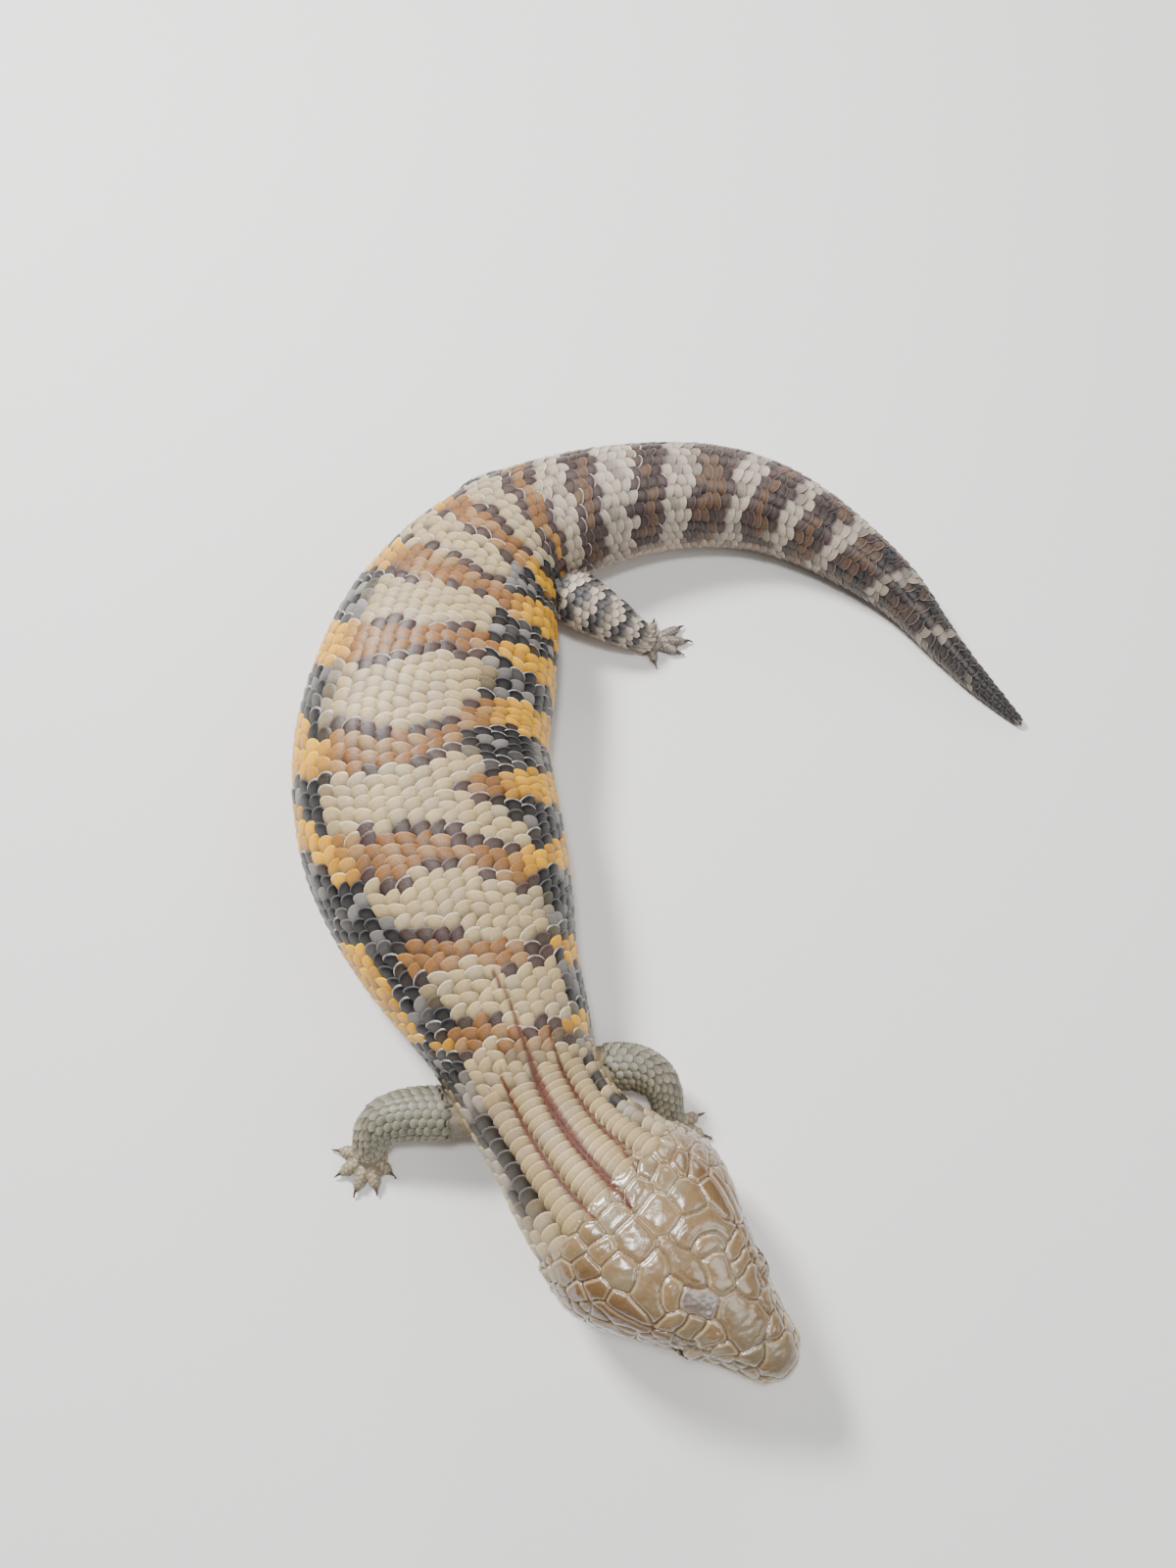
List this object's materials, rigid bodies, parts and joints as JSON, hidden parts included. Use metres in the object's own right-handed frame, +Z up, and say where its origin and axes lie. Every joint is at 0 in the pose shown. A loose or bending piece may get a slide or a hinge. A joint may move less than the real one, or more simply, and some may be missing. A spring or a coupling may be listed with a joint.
{
  "type": "blue-tongued skink model",
  "caption": "Life-size still model of a young blue-tongued skink lying in an open curve, with short legs, a thick tail and a broad flat head.",
  "frame": {"origin": "middle of the model's footprint on the surface that it lies on", "axes": "+Z up, +Y from the head's end of the curve to the tail base's, +X towards the snout and the tail tip"},
  "size_m": [0.1458, 0.1874, 0.0301],
  "materials": {
    "head_skin": "satin",
    "body_skin": "satin",
    "tail_skin": "satin",
    "front_leg_skin": "satin",
    "hind_leg_skin": "satin",
    "eye": "gloss"
  },
  "bodies": {
    "root": {"head": "head_skin", "eye_left": "eye", "eye_right": "eye", "neck": "body_skin", "chest": "body_skin", "belly": "body_skin", "hips": "body_skin", "tail_base": "tail_skin", "tail_middle": "tail_skin", "tail_tip": "tail_skin", "right_front_upper_arm": "front_leg_skin", "right_front_forearm": "front_leg_skin", "right_front_hand": "front_leg_skin", "left_front_upper_arm": "front_leg_skin", "left_front_forearm": "front_leg_skin", "left_front_hand": "front_leg_skin", "left_hind_thigh": "hind_leg_skin", "left_hind_shank": "hind_leg_skin", "left_hind_foot": "hind_leg_skin", "right_hind_thigh": "hind_leg_skin", "right_hind_shank": "hind_leg_skin", "right_hind_foot": "hind_leg_skin"}
  },
  "joints": []
}
